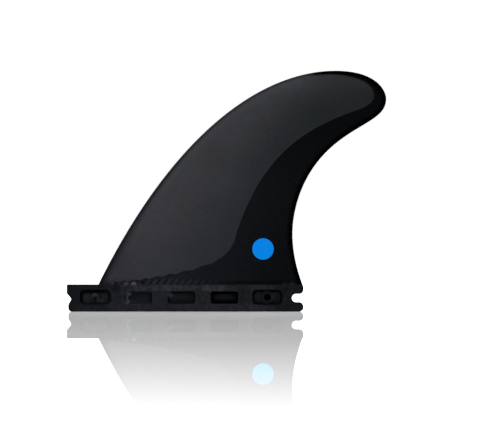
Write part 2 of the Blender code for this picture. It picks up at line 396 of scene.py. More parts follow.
def foil_tree():
    """Lofts foil sections between a leading and a trailing edge, round both faces."""
    tree, given = new_geometry_tree("foil_loft", [
        ("Leading Edge", "Object"), ("Trailing Edge", "Object"), ("Rings", "Int"), ("Columns", "Int"),
        ("Root Thickness", "Float"), ("Edge Thickness", "Float"), ("Taper", "Float"),
        ("Material", "Material"),
    ])
    mesh, around, reach = grid_shares(tree, given["Columns"], given["Rings"])
    share = (around * math.tau).math("COSINE").taken_from(1) / 2
    side = (around - 0.5).math("SIGN")
    lead = point_on(tree, given["Leading Edge"], reach)
    trail = point_on(tree, given["Trailing Edge"], reach)
    chord = distance_between(lead, trail)
    root_chord = distance_between(point_on(tree, given["Leading Edge"], 0.0),
                                  point_on(tree, given["Trailing Edge"], 0.0))
    swell = (given["Root Thickness"] - given["Edge Thickness"]) * (chord / root_chord) ** given["Taper"]
    section = share ** 0.5 * SECTION[0]
    for power, factor in enumerate(SECTION[1:]):
        section = section + share ** (power + 1) * factor
    foil = (section * SECTION_SCALE).high(0.0)
    edge_radius = given["Edge Thickness"] / 2
    rim = (share * chord).rounded(edge_radius) * (share.taken_from(1) * chord).rounded(edge_radius)
    half = (given["Edge Thickness"] * rim + swell * foil) / 2
    x, z = between(lead, trail, share)
    mesh = store(tree, mesh, "from_lead", distance_to(tree, given["Leading Edge"], x, z))
    mesh = store(tree, mesh, "from_trail", distance_to(tree, given["Trailing Edge"], x, z))
    mesh = moved(tree, mesh, x, side * half, z)
    merged = add_node(tree, "GeometryNodeMergeByDistance", Geometry=mesh, Distance=MERGE)
    end_geometry_tree(tree, merged.outputs[0], given["Material"])
    return tree


def rib_wave(x, z, given):
    """1 on a rib's crest and 0 in a groove."""
    turns = (x - z * given["Rib Lean"] - given["Rib Place"]) / given["Rib Pitch"]
    return (turns * math.tau).math("COSINE") / 2 + 0.5


def scalloped(point, depth, given):
    """Lifts an edge's point at a scallop, and lowers it between two of them."""
    x, z = point
    along = x - SCALLOP_PLACE
    wave = ((along * SCALLOP_RATE - along ** 2 * SCALLOP_RATE_DROP) * math.tau).math("COSINE") / 2
    return x, z + wave * x.fall(given["Rib Fade Start"], given["Rib Fade End"]) * depth


def skin_tree():
    """Lays a thin skin between two edges on the near face of the blade, with leaning ribs if asked."""
    objects = ("Blade", "Leading Edge", "Trailing Edge", "First Edge", "Second Edge")
    numbers = ("Proud", "Tuck", "Rim", "Rib Height", "Rib Pitch", "Rib Place", "Rib Lean", "Rib Top",
               "Rib Fade Start", "Rib Fade End", "First Scallop", "Second Scallop")
    tree, given = new_geometry_tree("laid_skin", [
        *((name, "Object") for name in objects), ("Columns", "Int"), ("Rows", "Int"),
        *((name, "Float") for name in numbers), ("Material", "Material"),
    ])
    mesh, across, along = grid_shares(tree, given["Columns"], given["Rows"])
    first = scalloped(point_on(tree, given["First Edge"], along), given["First Scallop"], given)
    second = scalloped(point_on(tree, given["Second Edge"], along), given["Second Scallop"], given)
    x, z = between(first, second, across)
    inset = across.low(across.taken_from(1)) * distance_between(first, second)
    blade = add_node(tree, "GeometryNodeObjectInfo", Object=given["Blade"])
    outside = add_node(tree, "ShaderNodeCombineXYZ", X=x, Y=-4 * TAB_SIDE, Z=z)
    ray = add_node(tree, "GeometryNodeRaycast", Target_Geometry=blade.outputs["Geometry"],
                   Source_Position=outside.outputs[0], Ray_Direction=(0, 1, 0), Ray_Length=1.0)
    hit = add_node(tree, "ShaderNodeSeparateXYZ", Vector=ray.outputs["Hit Position"])
    wave = rib_wave(x, z, given)
    ribbed = x.fall(given["Rib Fade Start"], given["Rib Fade End"])
    ribbed = ribbed * z.fall(given["Rib Top"] - RIB_TOP_FADE, given["Rib Top"])
    rim = inset.rounded(given["Rim"])
    lift = (given["Proud"] + given["Tuck"] + wave * ribbed * given["Rib Height"]) * rim - given["Tuck"]
    lead = distance_to(tree, given["Leading Edge"], x, z)
    mesh = store(tree, mesh, "from_lead", lead)
    mesh = store(tree, mesh, "chord", lead / (lead + distance_to(tree, given["Trailing Edge"], x, z)))
    mesh = store(tree, mesh, "from_first", distance_to(tree, given["First Edge"], x, z))
    mesh = store(tree, mesh, "crest", wave)
    mesh = store(tree, mesh, "ribbed", ribbed)
    mesh = moved(tree, mesh, x, Wire(tree, hit.outputs["Y"]) - lift, z)
    merged = add_node(tree, "GeometryNodeMergeByDistance", Geometry=mesh, Distance=MERGE)
    end_geometry_tree(tree, merged.outputs[0], given["Material"])
    return tree


def grown(name, tree, sizes):
    """Runs a Geometry Nodes tree with the sizes given by name, and keeps the result as a plain mesh."""
    thing = place(name, bpy.data.meshes.new(name))
    modifier = thing.modifiers.new("shape", "NODES")
    modifier.node_group = tree
    for item in tree.interface.items_tree:
        if item.item_type == "SOCKET" and item.in_out == "INPUT" and item.name in sizes:
            modifier[item.identifier] = sizes[item.name]
    settle(thing)
    return thing


def settle(thing):
    """Turns the object's evaluated shape into its plain mesh."""
    depsgraph = bpy.context.evaluated_depsgraph_get()
    mesh = bpy.data.meshes.new_from_object(thing.evaluated_get(depsgraph), depsgraph=depsgraph)
    thing.modifiers.clear()
    thing.data = mesh
    mesh.name = thing.name


def discard(things):
    for thing in things:
        bpy.data.objects.remove(thing, do_unlink=True)


def edit(thing, change):
    """Opens the object's mesh, changes it and closes it again."""
    shape = bmesh.new()
    shape.from_mesh(thing.data)
    change(shape)
    shape.to_mesh(thing.data)
    shape.free()


def close_foot(shape):
    """Closes the open ring at the blade's foot, inside the tab."""
    rim = [edge for edge in shape.edges if edge.is_boundary]
    bmesh.ops.holes_fill(shape, edges=rim, sides=len(rim))


def turn_over(shape):
    bmesh.ops.transform(shape, matrix=NEAR_TO_FAR, verts=shape.verts)
    bmesh.ops.reverse_faces(shape, faces=shape.faces)


def far_copy(near, name):
    """The same skin on the other face."""
    far = place(name, near.data.copy())
    far.data.name = name
    edit(far, turn_over)
    return far


def blade_guides():
    """The leading and the trailing edge, which start inside the tab and meet at the tip."""

    def foot_in_tab(foot, angle):
        return foot - way(angle) * BLADE_SINK / math.sin(math.radians(angle))

    lead = guide(
        "leading_edge", foot_in_tab(LEAD_FOOT, LEAD_ANGLE),
        (LEAD_FOOT, LEAD_ANGLE, LEAD_ANGLE, STRAIGHT),
        (CROWN, LEAD_ANGLE, 0, (0.532, 0.229)),
        (TIP, 0, -90, (0.711, 0.145)),
    )
    trail = guide(
        "trailing_edge", foot_in_tab(TRAIL_FOOT, TRAIL_ANGLE),
        (TRAIL_FOOT, TRAIL_ANGLE, TRAIL_ANGLE, STRAIGHT),
        (WAIST, TRAIL_ANGLE, 90, (0.145, 0.468)),
        (NECK, 90, NECK_ANGLE, (0.121, 0.519)),
        (TIP, NECK_ANGLE, 90, (0.499, 0.284)),
    )
    return lead, trail


def facing_guides():
    """The facing's two edges, from its heel at the blade's foot to its end near the tip."""
    front = guide(
        "facing_front", FACING_HEEL,
        (FACING_CROWN, LEAD_ANGLE, FACING_CROWN_ANGLE, (0.536, 0.212)),
        (FACING_TIP, FACING_CROWN_ANGLE, -90, (0.36, 0.31)),
    )
    back = guide(
        "facing_back", FACING_HEEL,
        (FACING_KNEE, 0, KNEE_ANGLE, KNEE_FULLNESS),
        (FACING_SHIN, KNEE_ANGLE, SHIN_ANGLE, (0.649, 0.2)),
        (FACING_NECK, SHIN_ANGLE, FACING_NECK_ANGLE, (0.479, 0.331)),
        (FACING_TIP, FACING_NECK_ANGLE, 90, (0.101, 0.397)),
    )
    return front, back


def rib_guides():
    """The ribs fill the wedge between the facing's lower edge and the tab."""
    top = guide(
        "rib_top", FACING_HEEL,
        (FACING_KNEE, 0, KNEE_ANGLE, KNEE_FULLNESS),
        (RIB_TOP_END, KNEE_ANGLE, RIB_TOP_ANGLE, RIB_TOP_FULLNESS),
    )
    foot_end = Vector((RIB_END, RIB_FOOT_START.y))
    foot = guide("rib_foot", RIB_FOOT_START, (foot_end, 0, 0, STRAIGHT))
    return top, foot


def circle_guides(name, middle, radius):
    """The upper and the lower half of a circle, both from its left to its right."""
    left = middle - Vector((radius, 0))
    right = middle + Vector((radius, 0))

    def half(end, side):
        crest = middle + Vector((0, radius * side))
        up = 90 * side
        return guide(name + end, left, (crest, up, 0, CIRCLE_FULLNESS), (right, 0, -up, CIRCLE_FULLNESS))

    return half("_top", 1), half("_foot", -1)


def laid_skin(name, common, guides, grid, material, proud, ribs=0.0, scallops=(0.0, 0.0)):
    """A skin between two guides, with the grid's columns and rows, on the blade that common names."""
    tree, under = common
    skin = grown(name, tree, {
        **under, "First Edge": guides[0], "Second Edge": guides[1], "Columns": grid[0], "Rows": grid[1],
        "Proud": proud, "Tuck": SKIN_TUCK, "Rim": SKIN_RIM, "Rib Height": ribs, "Rib Pitch": RIB_PITCH,
        "Rib Place": RIB_PLACE, "Rib Lean": RIB_LEAN, "Rib Top": RIB_TOP, "Rib Fade Start": RIB_FADE_START,
        "Rib Fade End": RIB_FADE_END, "First Scallop": scallops[0], "Second Scallop": scallops[1],
        "Material": material,
    })
    wall = skin.modifiers.new("wall", "SOLIDIFY")
    wall.thickness = SKIN_WALL
    wall.offset = -1
    settle(skin)
    discard(guides)
    return skin


def rounded_outline(corners):
    """Runs round a flat outline whose corners are (x, z, radius), with an arc at each one."""
    points = []
    for index, (x, z, radius) in enumerate(corners):
        corner = Vector((x, z))
        before = (Vector(corners[index - 1][:2]) - corner).normalized()
        after = (Vector(corners[(index + 1) % len(corners)][:2]) - corner).normalized()
        half_angle = before.angle(after) / 2
        centre = corner + (before + after).normalized() * radius / math.sin(half_angle)
        start = corner + before * radius / math.tan(half_angle) - centre
        end = corner + after * radius / math.tan(half_angle) - centre
        sweep = start.angle_signed(end)
        for step in range(ARC_STEPS + 1):
            turn = Matrix.Rotation(-sweep * step / ARC_STEPS, 2)
            points.append(centre + turn @ start)
    return points


def tab_outline():
    """The tab's side view, from its front top corner round by its slot and its notch."""
    toe = TAB_FRONT + TOE_INSET
    notch = TAB_DEPTH / 2 - NOTCH_DROP
    slot_top = (TAB_DEPTH + SLOT_WIDTH) / 2
    slot_foot = (TAB_DEPTH - SLOT_WIDTH) / 2
    slot_end = TAB_REAR - SLOT_DEPTH
    slot_round = SLOT_WIDTH / 2 - MERGE
    return rounded_outline([
        (TAB_FRONT, TAB_DEPTH, TAB_CORNER),
        (TAB_REAR, TAB_DEPTH, TAB_HEEL),
        (TAB_REAR, slot_top, SLOT_LIP),
        (slot_end, slot_top, slot_round),
        (slot_end, slot_foot, slot_round),
        (TAB_REAR, slot_foot, SLOT_LIP),
        (TAB_REAR, 0, SLOT_LIP),
        (toe, 0, TOE_CORNER),
        (toe, notch - NOTCH_SPAN / 2, NOTCH_LIP),
        (TAB_FRONT + NOTCH_DEPTH, notch, NOTCH_ROOT),
        (TAB_FRONT, notch + NOTCH_SPAN / 2, NOTCH_LIP),
    ])


def add_block(shape, outline, y, end_outline, end_y):
    """A closed block from one flat outline at y to another at end_y."""
    near = [shape.verts.new((p.x, y, p.y)) for p in outline]
    far = [shape.verts.new((p.x, end_y, p.y)) for p in end_outline]
    shape.faces.new(near)
    shape.faces.new(reversed(far))
    for index in range(len(near)):
        after = (index + 1) % len(near)
        shape.faces.new((near[after], near[index], far[index], far[after]))


def new_shape(name, build):
    """An object from what the build function adds to an empty shape, with its faces turned outwards."""
    shape = bmesh.new()
    build(shape)
    bmesh.ops.recalc_face_normals(shape, faces=shape.faces)
    mesh = bpy.data.meshes.new(name)
    shape.to_mesh(mesh)
    shape.free()
    return place(name, mesh)


def pocket_outline(middle, pocket, inset):
    """A pocket's outline, drawn in from its nominal one by the inset."""
    front = middle - pocket["length"] / 2 + inset
    back = middle + pocket["length"] / 2 - inset
    low = pocket["low"] + inset
    high = pocket["high"] - inset
    corner = pocket["corner"] - inset / 2
    turns = ((front, high), (back, high), (back, low), (front, low))
    return rounded_outline([(*turn, corner) for turn in turns])


def add_pockets(shape):
    for index in range(POCKET_COUNT):
        middle = FRONT_POCKET + index * POCKET_PITCH
        pocket = END_POCKET if index in (0, POCKET_COUNT - 1) else INNER_POCKET
        depth = TAB_SIDE - pocket["floor"]
        flare = pocket["draft"] * CUT_MARGIN / depth
        floor = pocket_outline(middle, pocket, pocket["draft"])
        mouth = pocket_outline(middle, pocket, -flare)
        for side in (-1, 1):
            add_block(shape, floor, side * pocket["floor"], mouth, side * (TAB_SIDE + CUT_MARGIN))


def add_pin(shape, x, diameter, start, end):
    """A round pin across the tab, at the bosses' height, from one y to another."""
    lie = Matrix.Translation((x, (start + end) / 2, BOSS_LEVEL)) @ Matrix.Rotation(UPRIGHT, 4, "X")
    bmesh.ops.create_cone(shape, cap_ends=True, segments=PIN_SIDES, radius1=diameter / 2,
                          radius2=diameter / 2, depth=abs(end - start), matrix=lie)


def add_bosses(shape):
    for boss in (FRONT_BOSS, REAR_BOSS):
        for side in (-1, 1):
            add_pin(shape, boss["middle"], boss["diameter"], side * END_POCKET["floor"] / 2, side * BOSS_FACE)


def add_boss_holes(shape):
    for boss in (FRONT_BOSS, REAR_BOSS):
        for side in (-1, 1):
            mouth = side * (TAB_SIDE + CUT_MARGIN)
            add_pin(shape, boss["middle"], boss["hole"], side * boss["hole_floor"], mouth)


def combine(body, other, operation):
    modifier = body.modifiers.new(other.name, "BOOLEAN")
    modifier.operation = operation
    modifier.solver = "EXACT"
    modifier.object = other


def build_tab(material):
    """The base tab, with its pockets, bosses and blind holes cut in, and every edge a little rounded."""
    outline = tab_outline()
    tab = new_shape("base_tab", lambda shape: add_block(shape, outline, -TAB_SIDE, outline, TAB_SIDE))
    tools = [new_shape("pockets", add_pockets), new_shape("bosses", add_bosses),
             new_shape("boss_holes", add_boss_holes)]
    for tool, operation in zip(tools, ("DIFFERENCE", "UNION", "DIFFERENCE")):
        combine(tab, tool, operation)
    edges = tab.modifiers.new("edges", "BEVEL")
    edges.width = TAB_EDGE
    edges.segments = TAB_EDGE_STEPS
    edges.limit_method = "ANGLE"
    edges.angle_limit = math.radians(SHARP_ANGLE)
    edges.harden_normals = True
    tab.data.shade_smooth()
    settle(tab)
    discard(tools)
    tab.data.materials.append(material)
    return tab


class Finish:
    """A new material. Its paints are the tones seen on the fin, from which its own sheen is taken off."""

    def __init__(self, name, roughness, specular):
        self.material = bpy.data.materials.new(name)
        self.material.use_nodes = True
        self.tree = self.material.node_tree
        self.shader = self.tree.nodes["Principled BSDF"]
        self.shader.inputs["Roughness"].default_value = roughness
        self.shader.inputs["Specular IOR Level"].default_value = specular
        self.sheen = SHEEN_SHARE * specular
        self.source = self.tree.nodes.new("ShaderNodeTexCoord").outputs["Object"]
        split = add_node(self.tree, "ShaderNodeSeparateXYZ", Vector=self.source)
        self.x, self.y, self.z = [Wire(self.tree, split.outputs[axis]) for axis in "XYZ"]

    def paint(self, *tones):
        """A colour from its red, green and blue, which run to 255."""
        shares = [tone / 255 for tone in tones]
        linear = [s / 12.92 if s <= 10 / 255 else ((s + 0.055) / 1.055) ** 2.4 for s in shares]
        return (*(max(s - self.sheen, 0) for s in linear), 1)

    def grey(self, tone):
        """A slightly blue grey."""
        return self.paint(tone * 0.94, tone, tone * 1.1)

    def slate(self, tone):
        """A bluer grey, for what lies in the pockets."""
        return self.paint(tone * 0.87, tone * 0.99, tone * 1.13)

    def mauve(self, tone):
        """A grey between blue and red."""
        return self.paint(tone * 0.968, tone * 0.99, tone * 1.08)

    def attribute(self, name):
        node = add_node(self.tree, "ShaderNodeAttribute", {"attribute_name": name})
        return Wire(self.tree, node.outputs["Fac"])

    def grain(self, scale, detail=3.0):
        node = add_node(self.tree, "ShaderNodeTexNoise", Vector=self.source, Scale=scale, Detail=detail)
        return Wire(self.tree, node.outputs["Fac"])

    def blend(self, share, first, second):
        node = add_node(self.tree, "ShaderNodeMix", {"data_type": "RGBA"})
        connect(self.tree, share, node.inputs[0])
        connect(self.tree, first, node.inputs[6])
        connect(self.tree, second, node.inputs[7])
        return node.outputs[2]

    def shade(self, colour, strength):
        """Multiplies a colour by a number."""
        node = add_node(self.tree, "ShaderNodeVectorMath", {"operation": "SCALE"})
        connect(self.tree, colour, node.inputs[0])
        connect(self.tree, strength, node.inputs["Scale"])
        return node.outputs[0]

    def cloud(self, colour, scale, warm, cool):
        """Tints a colour in soft clouds, warm here and cool there."""
        tint = self.blend(self.grain(scale).rise(0.3, 0.7), (*cool, 1), (*warm, 1))
        node = add_node(self.tree, "ShaderNodeVectorMath", {"operation": "MULTIPLY"})
        connect(self.tree, colour, node.inputs[0])
        connect(self.tree, tint, node.inputs[1])
        return node.outputs[0]

    def spot(self, x, z, half_width, half_height, softness=0.6):
        """1 within an oval round a point of the side view, falling softly to 0 at its edge."""
        away = (((self.x - x) / half_width) ** 2 + ((self.z - z) / half_height) ** 2) ** 0.5
        return away.fall(1 - softness, 1.0)

    def finish(self, colour, bump_scale, bump_height):
        """Gives the shader its colour and a fine grain, and hands over the material."""
        connect(self.tree, colour, self.shader.inputs["Base Color"])
        bump = add_node(self.tree, "ShaderNodeBump", Height=self.grain(bump_scale), Distance=bump_height)
        self.tree.links.new(bump.outputs[0], self.shader.inputs["Normal"])
        return self.material


def shaded_lead_rim(f):
    """Painted shade along the leading edge: dark at its foot, paler up to the crown, and black round the tip.
    """
    rim = f.blend(f.z.rise(0.010, 0.045), f.grey(20), f.grey(32))
    rim = f.blend(f.z.rise(0.060, 0.086), rim, f.grey(44))
    rim = f.blend(f.z.rise(0.098, 0.110), rim, f.grey(48))
    return f.blend(f.x.rise(0.056, 0.065), rim, f.grey(4))


# Painted highlights and painted shade on the facing: each oval brightens or darkens it by its gain
FACING_LIGHT_PATCHES = (
    {"at": (0.0500, 0.1090), "size": (0.0190, 0.0080), "gain": 0.26},
    {"at": (0.0800, 0.1125), "size": (0.0200, 0.0055), "gain": -0.20},
    {"at": (0.0765, 0.1010), "size": (0.0140, 0.0070), "gain": 0.17},
    {"at": (0.0396, 0.1010), "size": (0.0160, 0.0070), "gain": 0.11},
    {"at": (0.0130, 0.0760), "size": (0.0110, 0.0130), "gain": -0.11},
    {"at": (0.0225, 0.0610), "size": (0.0150, 0.0120), "gain": 0.12},
    {"at": (-0.0140, 0.0235), "size": (0.0180, 0.0100), "gain": 0.10},
    {"at": (-0.0310, 0.0230), "size": (0.0100, 0.0160), "gain": -0.13},
)


def pale_facing():
    """Satin facing, painted with light and shade: palest by the leading edge, greyer to its back and tip,
    dark at its rim.
    """
    f = Finish("pale_facing", roughness=0.55, specular=0.05)
    front = f.blend(f.z.rise(0.0208, 0.0426), f.paint(50, 50.3, 54.7), f.paint(55.5, 55.5, 59))
    back = f.blend(f.z.rise(0.055, 0.113), f.paint(40.5, 43, 45.5), f.paint(32.5, 35.5, 37))
    # Painted shade: greyer towards the back of the chord and towards the tip
    greyer = f.attribute("chord") + f.z.rise(0.080, 0.130) * 0.287
    body = f.blend(greyer.rise(0.094, 0.647), front, back)
    # Painted shade of the leading edge's strip, which round the tip follows the facing's own edge
    tip = f.x.rise(0.056, 0.066)
    reach = f.z.fall(0.030, 0.060) * 0.0014 + 0.0034
    reach = (f.z.rise(0.050, 0.090) + f.z.rise(0.088, 0.102)) * -0.001 + reach
    turned = f.attribute("from_lead").rise(0.0, reach)
    faded = f.attribute("from_first").rise(-0.001, 0.0015)
    body = f.blend(turned + (faded - turned) * tip, shaded_lead_rim(f), body)
    heel = f.z.fall(0.0140, 0.0170) * f.x.fall(-0.030, -0.018)
    body = f.shade(body, heel * -0.3 + 1)
    # Painted highlight a little behind the leading edge, above the foot and short of the tip
    lit = f.attribute("from_lead").rise(0.0006, 0.0022) * f.attribute("from_lead").fall(0.0026, 0.0055)
    lit = lit * f.z.rise(0.040, 0.055) * f.x.fall(0.048, 0.060)
    body = f.shade(body, lit * 0.11 + 1)
    # Painted highlights and shade in ovals
    for patch in FACING_LIGHT_PATCHES:
        body = f.shade(body, f.spot(*patch["at"], *patch["size"], softness=1.0) * patch["gain"] + 1)
    mottle = f.grain(240.0) * 0.25 + f.grain(1400.0) * 0.55
    body = f.shade(body, mottle + 0.6)
    body = f.cloud(body, 430.0, warm=(1.075, 0.98, 1.02), cool=(0.925, 1.02, 0.98))
    return f.finish(body, bump_scale=2400.0, bump_height=0.00001)


FOOT_SPOTS = (
    {"at": (0.0476, 0.0132), "size": (0.0015, 0.0009), "tone": 33, "share": 1.0},
    {"at": (0.0512, 0.0132), "size": (0.0022, 0.0009), "tone": 35, "share": 1.0},
)

# Painted glints on the front of the ribs, and two darker spots
RIB_GLINTS_AND_SPOTS = (
    {"at": (-0.0205, 0.0140), "size": (0.0013, 0.0013), "tone": 17, "share": 1.0},
    {"at": (-0.0330, 0.0132), "size": (0.0011, 0.0012), "tone": 21, "share": 1.0},
    {"at": (-0.0245, 0.0132), "size": (0.0017, 0.0012), "tone": (80, 75, 80), "share": 1.0},
    {"at": (-0.0280, 0.0132), "size": (0.0017, 0.0011), "tone": (57, 57, 62), "share": 1.0},
    {"at": (-0.0350, 0.0132), "size": (0.0017, 0.0012), "tone": (43.24, 46, 50.6), "share": 1.0},
)


def painted(f, body, spots, dark):
    """Lays soft oval spots over a colour.

    A spot's tone is its red, green and blue, or one number: mauve if pale, and else what dark makes of it.
    """
    for spot in spots:
        tone = spot["tone"]
        if isinstance(tone, tuple):
            colour = f.paint(*tone)
        elif tone > PALE_TONE:
            colour = f.mauve(tone)
        else:
            colour = dark(tone)
        body = f.blend(f.spot(*spot["at"], *spot["size"]) * spot["share"], body, colour)
    return body


def band_colour(f):
    """Near-black of the blade, a little paler in front of the facing's heel, and blackest towards the tip."""
    body = f.blend(f.x.rise(-0.010, 0.014), f.paint(26, 28, 31), f.paint(21, 23, 26))
    body = f.blend(f.x.rise(0.005, 0.060), body, f.paint(13, 15, 17))
    body = f.shade(body, f.x.rise(0.020, 0.034) * f.z.fall(0.034, 0.050) * -0.12 + 1)
    body = f.blend(f.z.rise(0.060, 0.100), body, f.paint(9.5, 10.5, 12))
    # Painted shadow along the blade's root, just above the tab
    foot = f.z.rise(0.0126, 0.0137) * f.z.fall(0.0142, 0.0152)
    foot = foot * f.x.rise(0.008, 0.024) * f.x.fall(0.045, 0.050)
    body = f.shade(body, foot * -0.35 + 1)
    return painted(f, body, FOOT_SPOTS, f.grey)


def dark_band():
    """Near-black composite of the blade, with painted shade making it blackest along its trailing edge and
    tip.
    """
    f = Finish("dark_band", roughness=0.5, specular=0.006)
    # Painted shade: black within a few millimetres of either edge
    edge = f.attribute("from_trail").low(f.attribute("from_lead"))
    body = f.shade(band_colour(f), edge.rise(0.0010, 0.0033))
    # In front, the painted shade of the leading edge's strip
    in_front = f.attribute("from_lead").fall(0.0016, 0.0022) * f.x.fall(0.060, 0.065)
    body = f.blend(in_front, body, shaded_lead_rim(f))
    body = f.shade(body, f.grain(800.0) + 0.5)
    body = f.cloud(body, 420.0, warm=(1.13, 0.965, 1.03), cool=(0.87, 1.035, 0.97))
    return f.finish(body, bump_scale=1800.0, bump_height=0.000006)


def ribbed_foot():
    """Ribs painted with light and shade, pale crests and darker grooves, with painted glints and dark spots
    in front.
    """
    f = Finish("ribbed_foot", roughness=0.5, specular=0.03)
    # Painted light and shade of the ribs: pale on the crests, darker in the grooves
    groove = f.blend(f.x.rise(-0.032, -0.020), f.grey(28), f.grey(22))
    crest = f.blend(f.x.rise(-0.030, -0.018), f.grey(40), f.grey(37))
    crest = f.blend(f.x.rise(-0.006, 0.014), crest, f.grey(28))
    ribs = f.blend(f.attribute("crest"), groove, crest)
    body = f.blend(f.attribute("ribbed"), band_colour(f), ribs)
    # Painted shade in the ribs just under the facing's edge
    shade_under_facing = f.attribute("from_first").fall(0.0002, 0.0011) * f.x.fall(-0.006, 0.006)
    body = f.shade(body, shade_under_facing * -0.3 + 1)
    body = painted(f, body, RIB_GLINTS_AND_SPOTS, f.grey)
    body = f.blend(f.attribute("from_lead").rise(0.0, 0.0034), shaded_lead_rim(f), body)
    body = f.shade(body, f.grain(900.0) * 1.2 + 0.4)
    body = f.cloud(body, 420.0, warm=(1.12, 0.965, 1.03), cool=(0.88, 1.035, 0.97))
    return f.finish(body, bump_scale=1800.0, bump_height=0.000006)


# Paler and darker patches on the tab; the two pale ones at its top edge behind the ribs are painted glints,
# and the dark one beside the front pocket is painted shadow
TAB_PATCHES = (
    {"at": (0.0135, 0.0113), "size": (0.0090, 0.0022), "tone": 49, "share": 0.9},
    {"at": (-0.0070, 0.0115), "size": (0.0190, 0.0022), "tone": 44, "share": 0.9},
    {"at": (-0.0215, 0.0112), "size": (0.0052, 0.0021), "tone": 40, "share": 0.9},
    {"at": (0.0370, 0.0117), "size": (0.0085, 0.0017), "tone": 38, "share": 0.9},
    {"at": (0.0230, 0.0024), "size": (0.0170, 0.0024), "tone": 38, "share": 0.8},
    {"at": (-0.0010, 0.0025), "size": (0.0110, 0.0016), "tone": 37, "share": 0.7},
    {"at": (0.0280, 0.0084), "size": (0.0048, 0.0062), "tone": 28, "share": 0.9},
    {"at": (-0.0356, 0.0068), "size": (0.0009, 0.0034), "tone": 17, "share": 0.8},
    {"at": (-0.0440, 0.0014), "size": (0.0110, 0.0015), "tone": 31, "share": 0.6},
    {"at": (0.0365, 0.0016), "size": (0.0090, 0.0017), "tone": 38, "share": 0.7},
    {"at": (-0.0340, 0.0030), "size": (0.0050, 0.0026), "tone": 33, "share": 0.7},
    {"at": (-0.0330, 0.0108), "size": (0.0034, 0.0024), "tone": 23, "share": 0.9},
    {"at": (-0.0320, 0.0062), "size": (0.0024, 0.0040), "tone": 29, "share": 0.8},
    {"at": (-0.0545, 0.0075), "size": (0.0070, 0.0090), "tone": 21, "share": 0.7},
    {"at": (0.0480, 0.0108), "size": (0.0022, 0.0014), "tone": 18, "share": 0.8},
    {"at": (-0.0245, 0.0129), "size": (0.0017, 0.0008), "tone": 56, "share": 0.9},
    {"at": (-0.0280, 0.0129), "size": (0.0017, 0.0008), "tone": 45, "share": 0.9},
    {"at": (-0.0330, 0.0127), "size": (0.0014, 0.0010), "tone": 20, "share": 0.8},
)

# Painted light and shade in each pocket: a tone for its top, front, back and foot walls by the way they face,
# and one for its floor
POCKET_SHADE_TONES = (
    {"top": 8, "front": 5, "back": 10, "foot": 18, "floor": 27},
    {"top": 34, "front": 60, "back": 13, "foot": 32, "floor": 24},
    {"top": 16, "front": 24, "back": 14, "foot": 18, "floor": 27},
    {"top": 1, "front": 10, "back": 2, "foot": 1, "floor": 6},
    {"top": 9, "front": 11, "back": 9, "foot": 10, "floor": 21},
)

# Painted shadows and painted highlights on the pockets' floors and bosses
POCKET_FLOOR_LIGHT_AND_SHADE = (
    {"at": (-0.0440, 0.0096), "size": (0.0100, 0.0018), "tone": 9, "share": 0.9},
    {"at": (-0.0466, 0.0067), "size": (0.0024, 0.0024), "tone": 34, "share": 0.9},
    {"at": (-0.0430, 0.0078), "size": (0.0018, 0.0014), "tone": 49, "share": 0.9},
    {"at": (-0.0407, 0.0053), "size": (0.0024, 0.0014), "tone": 40, "share": 0.9},
    {"at": (-0.0431, 0.0057), "size": (0.0013, 0.0014), "tone": 9, "share": 0.9},
    {"at": (-0.0227, 0.0048), "size": (0.0070, 0.0011), "tone": 31, "share": 0.8},
    {"at": (-0.0269, 0.0084), "size": (0.0016, 0.0013), "tone": 66, "share": 1.0},
    {"at": (-0.0281, 0.0067), "size": (0.0012, 0.0036), "tone": 70, "share": 1.0},
    {"at": (-0.0273, 0.0047), "size": (0.0016, 0.0013), "tone": 62, "share": 1.0},
    {"at": (-0.0262, 0.0068), "size": (0.0011, 0.0012), "tone": 15, "share": 0.9},
    {"at": (-0.0192, 0.0062), "size": (0.0030, 0.0018), "tone": 27, "share": 0.8},
    {"at": (-0.0010, 0.0052), "size": (0.0062, 0.0009), "tone": 15, "share": 0.8},
    {"at": (0.0024, 0.0068), "size": (0.0024, 0.0030), "tone": 21, "share": 0.8},
    {"at": (-0.0070, 0.0081), "size": (0.0015, 0.0019), "tone": 54, "share": 1.0},
    {"at": (-0.0078, 0.0053), "size": (0.0014, 0.0013), "tone": 17, "share": 0.9},
    {"at": (0.0186, 0.0070), "size": (0.0064, 0.0019), "tone": 22, "share": 1.0},
    {"at": (0.0348, 0.0075), "size": (0.0024, 0.0024), "tone": 27, "share": 0.8},
    {"at": (0.0424, 0.0070), "size": (0.0016, 0.0028), "tone": 30, "share": 0.9},
    {"at": (0.0445, 0.0042), "size": (0.0040, 0.0018), "tone": 14, "share": 0.6},
)

# Painted highlights and painted shade on the pockets' walls
POCKET_WALL_LIGHT_AND_SHADE = (
    {"at": (-0.0292, 0.0069), "size": (0.0009, 0.0044), "tone": 18, "share": 1.0},
    {"at": (-0.0273, 0.0087), "size": (0.0016, 0.0013), "tone": 72, "share": 1.0},
    {"at": (-0.0276, 0.0046), "size": (0.0015, 0.0013), "tone": 68, "share": 1.0},
    {"at": (-0.0076, 0.0083), "size": (0.0014, 0.0016), "tone": 66, "share": 1.0},
    {"at": (-0.0086, 0.0053), "size": (0.0014, 0.0013), "tone": 18, "share": 0.9},
)


